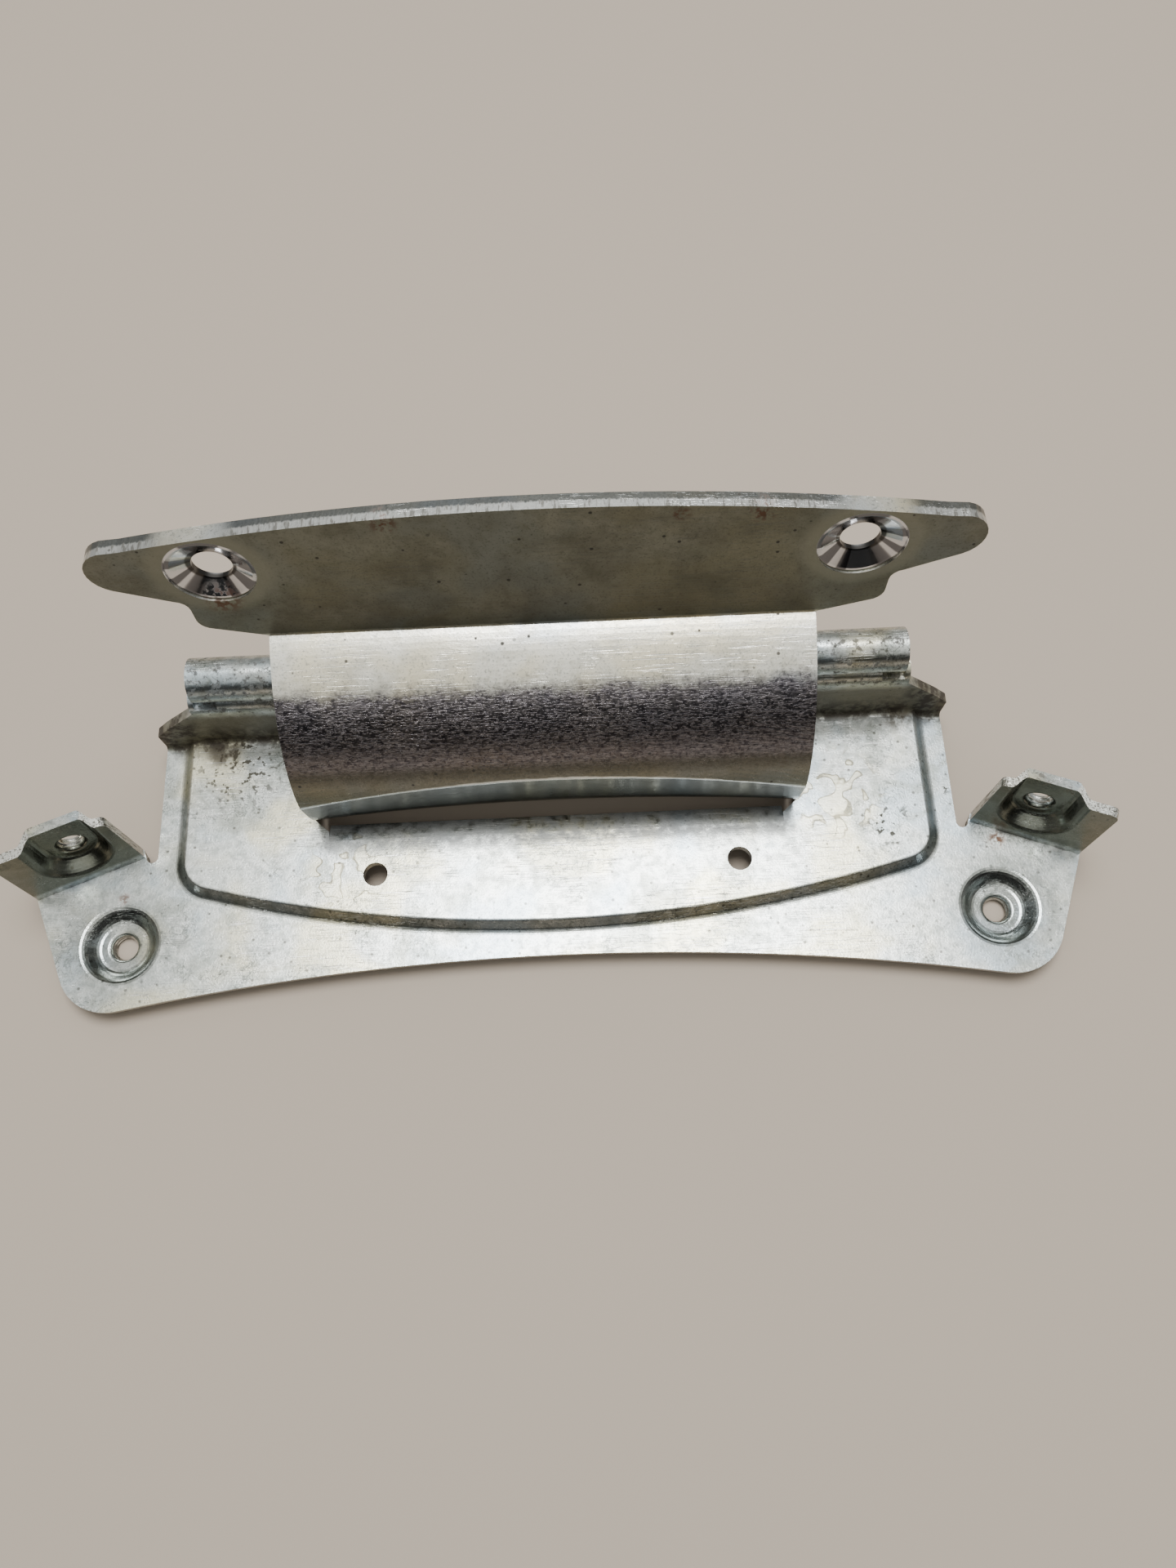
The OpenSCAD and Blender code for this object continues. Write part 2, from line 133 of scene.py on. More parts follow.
def makeSky():
    world = bpy.data.worlds.new("studio")
    bpy.context.scene.world = world
    world.use_nodes = True
    tree = world.node_tree
    direction = addNode(tree, "SeparateXYZ", {0: addNode(tree, "TexCoord")["Generated"]})
    side = addNode(tree, "MapRange", {
        "Value": direction["Y"], "From Min": studio["frontToBack"][0], "From Max": studio["frontToBack"][1],
        "To Min": studio["skyFront"], "To Max": studio["skyBack"]})[0]
    height = addNode(tree, "MapRange", {
        "Value": direction["Z"], "From Min": studio["sideToTop"][0], "From Max": studio["sideToTop"][1]},
        interpolation_type="SMOOTHSTEP")[0]
    sky = addNode(tree, "Mix", {"Factor": height, "A": side, "B": studio["skyTop"]}, data_type="FLOAT")[0]
    feed(tree, tree.nodes["Background"], {"Color": linearColour(studio["skyColour"]), "Strength": sky})


def makeLamp():
    lamp = bpy.data.lights.new("softbox", "AREA")
    lamp.shape = "DISK"
    lamp.size = studio["lampSize"]
    lamp.energy = studio["lampPower"]
    lampObject = bpy.data.objects.new("softbox", lamp)
    place = Vector(studio["lampPlace"])
    lampObject.matrix_world = Matrix.Translation(place) @ place.to_track_quat("Z", "Y").to_matrix().to_4x4()
    bpy.context.scene.collection.objects.link(lampObject)


makeFloor()
makeSky()
makeLamp()
print("floor and light made")


# Metals: each is built up on one record, which holds its nodes, its coordinates in millimetres, and its
# colour, roughness, metallic shine and height so far
def startMetal(name, hexCode):
    material = bpy.data.materials.new(name)
    material.use_nodes = True
    tree = material.node_tree
    coordinates = addNode(tree, "TexCoord")
    place = addNode(tree, "VectorMath", {0: coordinates["Object"], "Scale": 1 / mm}, operation="SCALE")[0]
    axes = addNode(tree, "SeparateXYZ", {0: place})
    return SimpleNamespace(
        material=material, tree=tree, colour=linearColour(hexCode), shine=1.0,
        place=place, x=axes["X"], y=axes["Y"], z=axes["Z"],
        beside=addNode(tree, "Math", {0: axes["X"]}, operation="ABSOLUTE")[0],  # distance from the middle
        normal=coordinates["Normal"], facing=addNode(tree, "SeparateXYZ", {0: coordinates["Normal"]}),
        dull=[])  # masks of what doesn't shine


def finishMetal(metal, relief):
    # relief is how deep the height's full swing goes, in millimetres
    bump = addNode(metal.tree, "Bump", {"Height": metal.height, "Distance": relief * mm, "Strength": 1.0})
    feed(metal.tree, metal.tree.nodes["Principled BSDF"], {
        "Base Color": metal.colour, "Metallic": metal.shine, "Roughness": metal.roughness, "Normal": bump[0]})
    return metal.material


def cloud(metal, width, detail=3.0, rough=0.55, spread=0.0, turn=(0, 0, 0), stretch=(1, 1, 1), place=None):
    # soft noise round 0.5 whose blobs are about width across, stretched along its own turned axes
    scaled = addNode(metal.tree, "Mapping", {
        "Vector": metal.place if place is None else place, "Rotation": [math.radians(a) for a in turn],
        "Scale": [1 / (width * s) for s in stretch]})[0]
    return addNode(metal.tree, "TexNoise", {
        "Vector": scaled, "Scale": 1.0, "Detail": detail, "Roughness": rough, "Distortion": spread})["Fac"]


def sumOf(metal, start, *terms):
    # start plus each number times its share, all of which may be outputs
    for number, share in terms:
        start = addNode(metal.tree, "Math", {0: number, 1: share, 2: start}, operation="MULTIPLY_ADD")[0]
    return start


def gapTo(metal, number, level):
    # how far a number lies from a level, on either side
    gap = addNode(metal.tree, "Math", {0: number, 1: level}, operation="SUBTRACT")[0]
    return addNode(metal.tree, "Math", {0: gap}, operation="ABSOLUTE")[0]


def maskOf(metal, *conditions):
    # 1 where every condition holds; a condition is another mask, or (number, low, high), which rises
    # from 0 at low to 1 at high, and low may be the larger of the two
    masks = [c if isinstance(c, bpy.types.NodeSocket) else addNode(
        metal.tree, "MapRange", {"Value": c[0], "From Min": c[1], "From Max": c[2]},
        interpolation_type="SMOOTHSTEP")[0] for c in conditions]
    total = masks[0]
    for mask in masks[1:]:
        total = addNode(metal.tree, "Math", {0: total, 1: mask}, operation="MULTIPLY")[0]
    return total


def anyOf(metal, *masks):
    total = masks[0]
    for mask in masks[1:]:
        total = addNode(metal.tree, "Math", {0: total, 1: mask}, operation="MAXIMUM")[0]
    return total


def bothSides(place):
    # a place and its mirror image across the middle
    x, y, z = place
    return [(-x, y, z), (x, y, z)]


def near(metal, centres, radius, fade):
    # 1 within radius of one of the centres, falling to 0 over fade
    gaps = [addNode(metal.tree, "VectorMath", {0: metal.place, 1: c}, operation="DISTANCE")["Value"]
            for c in centres]
    return anyOf(metal, *[maskOf(metal, (gap, radius + fade, radius)) for gap in gaps])


def spotsOf(metal, spots, core, fade):
    # near for spots of different sizes; core and fade are shares of each one's radius
    return anyOf(metal, *[near(metal, [centre], size * core, size * fade) for centre, size in spots])


def blotches(metal, mark):
    # a noise cut off at the mark's thresholds, inside its spots, and painted in its colour
    noise = cloud(metal, *mark["noise"])
    mask = maskOf(metal, spotsOf(metal, mark["spots"], mark["core"], mark["fade"]), (noise, *mark["levels"]))
    paint(metal, mark["layer"], mask)
    metal.dull.append(mask)


def pricksOf(metal, mark):
    # round dots in a few of the cells of a Voronoi pattern, whose colours are the draw that keeps a few
    cells = addNode(metal.tree, "TexVoronoi", {
        "Vector": metal.place, "Scale": mark["perMm"], "Randomness": 1.0})
    draw = addNode(metal.tree, "SeparateColor", {0: cells["Color"]})[0]
    mask = maskOf(metal, (cells["Distance"], *mark["radius"]), (draw, *mark["kept"]))
    paint(metal, mark["layer"], mask)
    return mask


def scratches(metal, length, width, turns, level):
    # thin streaks in several directions; level is where on the noise they start
    streaks = []
    for i, turn in enumerate(turns):
        noise = cloud(metal, width, 1.0, 0.4, turn=turn, stretch=(length / width, 1 + 0.1 * i, 1))
        streaks.append(maskOf(metal, (noise, level, level + 0.05)))
    return anyOf(metal, *streaks)


def paint(metal, layer, *conditions):
    # lays a colour over the metal's own where the conditions hold; layer is its hex code and its cover
    hexCode, cover = layer
    fader = addNode(metal.tree, "Math", {0: maskOf(metal, *conditions), 1: cover}, operation="MULTIPLY")[0]
    metal.colour = addNode(metal.tree, "Mix", {
        0: fader, 6: metal.colour, 7: linearColour(hexCode)}, data_type="RGBA")[2]


def roughen(metal, target, mask, cover):
    # moves the roughness towards a target where the mask is 1
    fader = addNode(metal.tree, "Math", {0: mask, 1: cover}, operation="MULTIPLY")[0]
    metal.roughness = addNode(metal.tree, "Mix", {
        0: fader, 2: metal.roughness, 3: target}, data_type="FLOAT")[0]


def soil(metal, look):
    # what lies on the metal is rough, and takes away some of its metallic shine
    dull = anyOf(metal, *metal.dull)
    roughen(metal, look["dirtRoughness"], dull, 0.8)
    metal.shine = sumOf(metal, 1.0, (dull, -look["shineLoss"]))


# The zinc on both sheets: sizes in millimetres, layers as sRGB hex and how much they cover, and for each
# layer the values of its noise where it starts and where it is full
sheetLook = {
    "silver": "#c9cdc9",
    "shade": ("#969b97", 0.8),
    "straw": ("#cfc9a9", 0.7),
    "blue": ("#abbbc6", 0.6),
    "smudge": ("#8b8f86", 0.6),
    "speckle": ("#7b807d", 0.6),
    "scratch": ("#f4f5f3", 0.6),
    # painted shade and grime for the folds
    "grimeAndShade": ("#2b2118", 0.85),
    "levels": {"shade": (0.42, 0.66), "straw": (0.5, 0.64), "blue": (0.48, 0.36), "smudge": (0.5, 0.66),
               "speckle": (0.5, 0.74)},
    "corner": 3.5,  # how far the painted shade and dirt reach out of a corner
    "spangle": 1.5,  # width of the mottles in the zinc
    "tintWidth": 15.0,  # width of the faint straw and blue clouds
    "smudgeWidth": 9.0,
    "grain": 0.35,  # the steel's grain under the zinc, drawn about twice as coarse
    "roughness": 0.18,
    "relief": 0.03,  # depth of grain, scratches and torn edges
    "dirtRoughness": 0.75,
    "shineLoss": 0.75,  # how much of the metallic shine dirt takes away
    "scratchLength": 9.0,
    "scratchWidth": 0.16,
    "scratchTurns": ((0, 0, 12), (0, 0, 74), (0, 0, 133)),
    "scratchLevel": 0.66,
    "scratchPatch": 14.0,  # width of the patches that are scratched
    "patchLevels": (0.46, 0.56),
}


def zinc(metal, look):
    # rolled steel under bright zinc: pale mottles, straw and blue clouds, fine grain and rubbed scratches
    mottle = cloud(metal, look["spangle"], 4.0, 0.62)
    tint = cloud(metal, look["tintWidth"], 2.0, 0.5)
    grain = cloud(metal, look["grain"], 2.0, 0.6)
    smudge = cloud(metal, look["smudgeWidth"], 4.0, 0.6, 0.8)
    for layer, noise in zip(look["levels"], (mottle, tint, tint, smudge, grain)):
        paint(metal, look[layer], (noise, *look["levels"][layer]))
    streaks = scratches(metal, look["scratchLength"], look["scratchWidth"], look["scratchTurns"],
                        look["scratchLevel"])
    streaks = maskOf(metal, streaks, (cloud(metal, look["scratchPatch"], 2.0), *look["patchLevels"]))
    paint(metal, look["scratch"], streaks)
    metal.roughness = sumOf(metal, look["roughness"], (mottle, 0.14), (grain, 0.08))
    metal.height = sumOf(metal, 0.0, (grain, 0.6), (streaks, -0.5), (mottle, 0.35))


def cornerShadeAndDirt(metal, reach):
    # painted shade: darker where the sheet's own folds shade each other, broken up by noise like dirt
    shade = addNode(metal.tree, "AmbientOcclusion", {"Distance": reach * mm}, samples=8, only_local=True)
    return maskOf(metal, (shade["AO"], 0.78, 0.42), (cloud(metal, 2.0, 4.0, 0.65), 0.36, 0.62))


# The bracket's marks: places in millimetres from the middle between the dimples, each noise as its width,
# detail, roughness and distortion, levels as the noise's values where a blotch starts and where it is full,
# and each layer as sRGB hex and how much it covers; a pair says where a mark fades in or out
bracketMarks = {
    "dimple": (dimpleX, 0.0, plateTop),
    "dimpleHalo": (6.8, 5.5),  # radius of the ring painted grey as reflection, and its fade
    "tabHole": (82.3, 17.9, 12.9),
    "tabStart": (70.5, 71.5),  # distance from the middle
    "tabFoot": (5.2, 6.4),  # height
    "tabRim": 7.6,  # radius inside which the tab's edge colour stays off
    "tabFace": [-a for a in mounts["tab_thread_right"]["axis"]],  # back of the right tab
    "drawnRadius": 6.6,  # of the burnished steel round a dimple
    "drawnRoughness": 0.2,
    "lip": 16.2,  # where the sheet starts to bend down into the window
    "windowHalf": 43.0,
    "edgeEnd": (33.0, 32.0),  # past this the plate has no free edge
    "wallStart": 34.0,
    "wallFoot": (15.0, 6.5),  # heights between which the grime at the wall's foot grows
    "rollStart": 18.5,  # height where the wall rolls into the knuckles
    "ears": (60.0, 64.0),  # distance from the middle where the wall's sloping ears begin
    "ringStains": [((49.0, 21.0, 6.3), 9.0), ((-36.0, 11.0, 6.3), 7.5)],
    "drops": (3.4, 1.0, 0.4, 0.6),
    "dropEdge": 0.56,  # value of the noise where a drop ends
    "stainLine": ("#716d5a", 0.85),
    "stainFill": ("#cfccb4", 0.6),
    "worms": (2.2, 3.0, 0.6, 1.4),
    "wormLine": ("#5d625e", 0.6),
    "pricks": {"perMm": 0.75, "radius": (0.26, 0.12), "kept": (0.76, 0.78), "layer": ("#45423a", 0.7)},
    "crumbs": {
        "spots": [((-56.0, 31.0, 6.3), 11.0), ((57.5, 15.0, 6.3), 5.0), ((68.3, 22.2, 4.3), 2.2)],
        "core": 0.3, "fade": 0.8, "noise": (1.3, 3.0, 0.6), "levels": (0.57, 0.61),
        "layer": ("#35301f", 0.9)},
    "grease": {
        "spots": [((-59.0, 34.0, 6.6), 4.2), ((61.5, 35.5, 7.0), 4.0),
                  ((-68.0, 36.0, 8.0), 4.5), ((67.5, 36.0, 8.0), 5.0)],
        "core": 0.35, "fade": 0.75, "noise": (2.6, 4.0, 0.6), "levels": (0.4, 0.56),
        "layer": ("#4b4335", 0.85)},
    "rust": {
        "spots": [((76.3, 11.8, 4.3), 1.6), ((-75.0, 8.0, 4.3), 1.2)],
        "core": 0.3, "fade": 1.0, "noise": (0.8, 3.0, 0.6), "levels": (0.42, 0.56),
        "layer": ("#6a3f1f", 0.9)},
    # painted shade and film on the back wall's front-facing side
    "wallFilmAndShade": ("#6d6856", 0.85),
    "lipShade": ("#9a9c9c", 0.7),
    "edgeBand": ("#b4b2aa", 0.8),
    "edgeTorn": ("#5d564b", 0.85),
    # painted reflection on the tabs' front faces
    "tabFaceReflection": ("#646658", 0.85),
    "tabEdge": ("#d9d9d2", 0.8),
    "tabTorn": ("#4f4a40", 0.8),
    "haloReflection": ("#7f8482", 0.5),
}


def waterStains(metal, marks):
    # drop-shaped stains: the thin outline where a noise crosses one level, and a paler inside
    drops = cloud(metal, *marks["drops"])
    level = marks["dropEdge"]
    region = spotsOf(metal, marks["ringStains"], 0.7, 0.4)
    paint(metal, marks["stainLine"], (gapTo(metal, drops, level), 0.04, 0.018), region)
    paint(metal, marks["stainFill"], (drops, level, level + 0.02), region)


def wormMarks(metal, marks):
    # fine dark lines in patches, where a noise crosses its middle
    lines = gapTo(metal, cloud(metal, *marks["worms"]), 0.5)
    paint(metal, marks["wormLine"], (lines, 0.03, 0.012), (cloud(metal, 9.0, 2.0), 0.5, 0.6))


def wallShadeAndGrime(metal, marks):
    # the back wall's side facing the front is painted dark as shade and an old grease film, and grime with
    # painted shade is thickest at its foot, its outer corners and under the roll
    start, roll = marks["wallStart"], marks["rollStart"]
    behind = maskOf(metal, (metal.y, start + 0.6, start + 2.0))
    filmAndShade = maskOf(metal, behind, (metal.z, roll, roll - 3.0), (metal.facing["Y"], 0.3, -0.1))
    smear = maskOf(metal, (cloud(metal, 2.4, 4.0, 0.65), 0.4, 0.58))
    foot = maskOf(metal, (metal.y, start - 1.0, start + 2.0), (metal.z, *marks["wallFoot"]), smear)
    ear = maskOf(metal, behind, smear, (metal.beside, *marks["ears"]))
    rolled = maskOf(metal, (metal.z, roll - 1.5, roll), (cloud(metal, 1.4, 4.0, 0.7), 0.52, 0.62))
    shadeAndDirt = anyOf(metal, cornerShadeAndDirt(metal, sheetLook["corner"]), foot, ear, sumOf(metal, 0.0, (rolled, 0.8)))
    paint(metal, marks["wallFilmAndShade"], filmAndShade)
    paint(metal, sheetLook["grimeAndShade"], shadeAndDirt)
    metal.dull += [shadeAndDirt, sumOf(metal, 0.0, (filmAndShade, 0.6))]


def shadedLip(metal, marks):
    # painted shade: the sheet is painted grey and dulled where it bends down into the window
    lip, half = marks["lip"], marks["windowHalf"]
    lipShading = maskOf(metal, (metal.y, lip - 3.2, lip - 0.6), (metal.y, lip + 5.3, lip + 3.3),
                    (metal.beside, half, half - 4.0), (cloud(metal, 2.0, 4.0, 0.65), 0.25, 0.6))
    paint(metal, marks["lipShade"], lipShading)
    metal.dull.append(sumOf(metal, 0.0, (lipShading, 0.6)))


def shearedEdge(metal, marks, ridges):
    # the plate's cut edge: a bright rolled-over band above, torn and darker below
    edge = maskOf(metal, (gapTo(metal, metal.facing["Z"], 0.0), 0.25, 0.12),
                  (metal.z, plateTop - 0.02, plateTop - 0.12),
                  (metal.y, *marks["edgeEnd"]))
    torn = maskOf(metal, edge, (sumOf(metal, metal.z, (ridges, 0.5)), plateTop - 0.6, plateTop - 0.9))
    paint(metal, marks["edgeBand"], edge)
    paint(metal, marks["edgeTorn"], torn)
    metal.dull.append(torn)
    return edge


def tabFaces(metal, marks, ridges):
    # the tabs' front faces are painted dull grey-green, a painted reflection of the dark side in front, and
    # their cut edges are bright and torn
    side = addNode(metal.tree, "Math", {0: metal.x}, operation="SIGN")[0]
    mirrored = addNode(metal.tree, "CombineXYZ", {
        0: sumOf(metal, 0.0, (metal.facing["X"], side)), 1: metal.facing["Y"], 2: metal.facing["Z"]})[0]
    lean = addNode(metal.tree, "VectorMath", {
        0: mirrored, 1: marks["tabFace"]}, operation="DOT_PRODUCT")["Value"]
    onTab = maskOf(metal, (metal.beside, *marks["tabStart"]), (metal.z, *marks["tabFoot"]))
    collar = near(metal, bothSides(marks["tabHole"]), marks["tabRim"], 0.3)
    rim = maskOf(metal, onTab, (gapTo(metal, lean, 0.0), 0.3, 0.15), sumOf(metal, 1.0, (collar, -1.0)))
    paint(metal, marks["tabFaceReflection"], onTab, (lean, -0.1, -0.5))
    paint(metal, marks["tabEdge"], rim)
    paint(metal, marks["tabTorn"], rim, (ridges, 0.52, 0.6))
    return rim


def platedBracket():
    # thin pressed steel in bright zinc: it gives back the soft light almost white, dulled by dirt, with
    # painted shade in its folds, on the back wall and along the lip, and painted reflections round the
    # dimples and on the tabs
    marks = bracketMarks
    metal = startMetal("zincPlatedSheet", sheetLook["silver"])
    zinc(metal, sheetLook)
    waterStains(metal, marks)
    wormMarks(metal, marks)
    pricksOf(metal, marks["pricks"])
    for mark in ("crumbs", "grease", "rust"):
        blotches(metal, marks[mark])
    wallShadeAndGrime(metal, marks)
    shadedLip(metal, marks)
    ridges = cloud(metal, 0.35, 2.0, 0.6, stretch=(1, 1, 8))
    cut = anyOf(metal, shearedEdge(metal, marks, ridges), tabFaces(metal, marks, ridges))

    # a grey ring is painted round each dimple as a painted reflection of the dark room in its wide dip, and
    # what the press drew is burnished
    dimples = bothSides(marks["dimple"])
    halo = near(metal, dimples, *marks["dimpleHalo"])
    paint(metal, marks["haloReflection"], halo, (cloud(metal, 3.0, 3.0), 0.2, 0.6))
    drawn = near(metal, dimples + bothSides(marks["tabHole"]), marks["drawnRadius"], 0.8)
    roughen(metal, marks["drawnRoughness"], drawn, 0.85)
    metal.height = sumOf(metal, metal.height, (maskOf(metal, cut, ridges), 1.5))
    soil(metal, sheetLook)
    return finishMetal(metal, sheetLook["relief"])


# The leaf's zinc is brighter and warmer
leafLook = {
    **sheetLook,
    "silver": "#f6f4e8",
    "shade": ("#dcdacb", 0.8),
    "straw": ("#f2e8c8", 0.7),
    "blue": ("#d3dde6", 0.6),
    "smudge": ("#c9c6b6", 0.6),
    "grimeAndShade": ("#2b2118", 0.7),
    "corner": 1.6,
    "relief": 0.02,
    "shineLoss": 0.7,
}

# The leaf's marks, given as the bracket's are; a pair says where a mark fades in or out
leafMarks = {
    "hoodY": 45.2,  # centre of the hood's circle
    "hoodZ": 14.7,
    "bandStart": (32.0, 38.5),  # in degrees round the hood, from straight up towards the front
    "bandEnd": (72.0, 64.0),
    "bandWander": 10.0,  # degrees by which the band's upper edge wanders
    "shinStart": (60.0, 66.0),
    "reflectedBand": ("#5f5862", 0.85),
    "bandPits": ("#35323c", 0.65),
    "bandFibres": ("#c9c3c8", 0.3),
    "fibres": [(1.5, 0.22, ((0, 0, 20), (0, 0, 65), (0, 0, -35)), 0.62),  # length, width, turns, level
               (0.8, 0.2, ((30, 0, 100), (20, 0, -70)), 0.64)],
    "shinReflection": ("#56564c", 0.8),
    "creaseHeight": 23.8,
    "creaseDrop": 0.00305,  # how far the crease lies lower, per square millimetre from the middle
    "creaseBack": (26.0, 24.0),
    "tailFoot": (9.4, 10.4),
    "tuckTop": (8.6, 7.8),  # the turn of the tail's foot into the window, painted near-black as shadow
    "tuckBack": (31.0, 28.0),
    "tail": ("#5a635e", 0.85),
    "tailShade": ("#2f3532", 0.8),
    "tuckShadow": ("#2e1c16", 0.9),
    "crease": ("#eef4f4", 0.9),
    "flangeFoot": 41.6,
    "flangeFace": mounts["door_screw_right"]["axis"],
    "toothLine": -33.5,  # along the flange's face, where the torn band meets the burnished one
    # painted shade and film on the flange's front face
    "filmAndShade": ("#4c5044", 0.85),
    "filmPatches": ("#4d4b41", 0.4),
    "sink": (45.8, 40.2, 57.0),  # middle of the right countersink
    "sinkRadius": 6.35,
    "sinkRoughness": 0.1,
    "sinkHalo": (7.4, 2.4),  # radius of the worn ring and its fade
    "haloPale": ("#87877a", 0.7),
    "sinkBright": ("#d5d6da", 1.0),
    "sinkFacetReflection": ("#4a4a4f", 0.85),
    "bore": (45.8, 41.2, 56.9),
    "boreRadius": 3.4,
    "boreShade": ("#3a3733", 0.9),
    "edge": ("#494e51", 0.85),
    "edgeGlint": ("#dadcda", 0.9),
    "edgeTeeth": ("#6a655b", 0.6),
    "pricks": {"perMm": 0.5, "radius": (0.17, 0.1), "kept": (0.8, 0.82), "layer": ("#2c2820", 0.85)},
    "rust": {
        "spots": [((-45.9, 39.6, 50.6), 3.0), ((20.0, 41.5, 65.0), 1.5),
                  ((31.0, 41.4, 64.5), 2.0), ((-20.0, 41.5, 65.5), 2.0)],
        "core": 0.3, "fade": 1.0, "noise": (1.0, 3.0, 0.6), "levels": (0.44, 0.58),
        "layer": ("#5b3418", 0.85)},
}


def hoodReflections(metal, marks, hood):
    # a dark band round the hood, a painted reflection of the dark side in front, tinted violet and scratched,
    # and below it a grey-brown stretch, a painted reflection of the table: turn is the angle on the hood's
    # circle, in degrees
    forward = sumOf(metal, marks["hoodY"], (metal.y, -1.0))
    upward = sumOf(metal, -marks["hoodZ"], (metal.z, 1.0))
    radians = addNode(metal.tree, "Math", {0: forward, 1: upward}, operation="ARCTAN2")[0]
    turn = sumOf(metal, 0.0, (radians, 180 / math.pi))
    wander = marks["bandWander"]
    upperEdge = sumOf(metal, -wander / 2, (turn, 1.0), (cloud(metal, 3.0, 4.0, 0.65), wander))
    reflectedBand = maskOf(metal, hood, (upperEdge, *marks["bandStart"]), (turn, *marks["bandEnd"]))
    fibres = anyOf(metal, *[scratches(metal, *sort) for sort in marks["fibres"]])
    paint(metal, marks["reflectedBand"], reflectedBand)
    paint(metal, marks["bandPits"], reflectedBand, (cloud(metal, 0.7, 3.0, 0.7), 0.45, 0.62))
    paint(metal, marks["bandFibres"], reflectedBand, fibres)
    paint(metal, marks["shinReflection"], hood, (turn, *marks["shinStart"]))
    return maskOf(metal, reflectedBand, fibres)


def tailAndCrease(metal, marks, hood):
    # a painted highlight along the crease, and below it the tail painted dark grey as shade, darker further
    # down, with its turn into the window painted near-black as shadow; the crease falls towards the sides,
    # because the tail bows
    squared = addNode(metal.tree, "Math", {0: metal.x, 1: 2.0}, operation="POWER")[0]
    above = sumOf(metal, -marks["creaseHeight"], (metal.z, 1.0), (squared, marks["creaseDrop"]))
    tail = maskOf(metal, hood, (above, 0.1, -0.1))
    tuckShadow = maskOf(metal, tail, (metal.z, *marks["tuckTop"]), (metal.y, *marks["tuckBack"]))
    ragged = sumOf(metal, above, (cloud(metal, 0.8, 2.0, 0.6, stretch=(3, 1, 1)), 0.5))
    paint(metal, marks["tail"], tail, (metal.z, *marks["tailFoot"]))
    paint(metal, marks["tailShade"], tail, (above, -10.0, -1.0))
    paint(metal, marks["tuckShadow"], tuckShadow)
    line = maskOf(metal, hood, (gapTo(metal, ragged, 0.25), 0.5, 0.2), (metal.y, *marks["creaseBack"]))
    paint(metal, marks["crease"], line)
    metal.dull.append(tuckShadow)
    return tail


def flangeFilmAndShade(metal, marks, flange, front):
    # the flange's front face is painted dark grey-brown, partly a thin film and partly painted shade on the
    # side away from the light, worn pale round the countersinks
    sinks = bothSides(marks["sink"])
    filmAndShade = maskOf(metal, flange, (front, 0.4, 0.8))
    halo = near(metal, sinks, *marks["sinkHalo"])
    sink = maskOf(metal, flange, near(metal, sinks, marks["sinkRadius"], 0.1), (front, -0.4, -0.1))
    paint(metal, marks["filmAndShade"], filmAndShade)
    paint(metal, marks["filmPatches"], filmAndShade, (cloud(metal, 9.0, 5.0, 0.6), 0.4, 0.7))
    paint(metal, marks["haloPale"], filmAndShade, halo)
    paint(metal, marks["sinkBright"], sink)
    return filmAndShade, halo, sink


def chatter(metal, marks, flange, sink):
    # the cutter chattered: bright and dark facets round each countersink, the dark ones painted reflections,
    # and a bore painted dark as shade
    sinkX, _, sinkZ = marks["sink"]
    spoke = addNode(metal.tree, "CombineXYZ", {
        0: sumOf(metal, -sinkX, (metal.beside, 1.0)), 2: sumOf(metal, -sinkZ, (metal.z, 1.0))})[0]
    spoke = addNode(metal.tree, "VectorMath", {0: spoke}, operation="NORMALIZE")[0]
    paint(metal, marks["sinkFacetReflection"], sink, (cloud(metal, 0.45, 1.0, 0.4, place=spoke), 0.47, 0.53))
    paint(metal, marks["boreShade"], flange, near(metal, bothSides(marks["bore"]), marks["boreRadius"], 0.3))


def leafEdges(metal, marks, flange, hood, front, halo):
    # sheared edges: a burnished band next to the back, and a torn one next to the front, painted bright as a
    # glint, with dark teeth
    edge = maskOf(metal, flange, (gapTo(metal, front, 0.0), 0.3, 0.15), sumOf(metal, 1.0, (halo, -1.0)))
    sideEdge = maskOf(metal, hood, (gapTo(metal, metal.facing["X"], 0.0), 0.8, 0.95))
    depth = addNode(metal.tree, "VectorMath", {
        0: metal.place, 1: marks["flangeFace"]}, operation="DOT_PRODUCT")["Value"]
    teeth = cloud(metal, 0.5, 2.0, 0.6, stretch=(1, 6, 1))
    line = marks["toothLine"]
    torn = maskOf(metal, edge, (sumOf(metal, depth, (teeth, 1.0)), line - 0.2, line + 0.2))
    paint(metal, marks["edge"], anyOf(metal, edge, sideEdge))
    paint(metal, marks["edgeGlint"], torn)
    paint(metal, marks["edgeTeeth"], torn, (teeth, 0.52, 0.62))
    return maskOf(metal, edge, teeth)


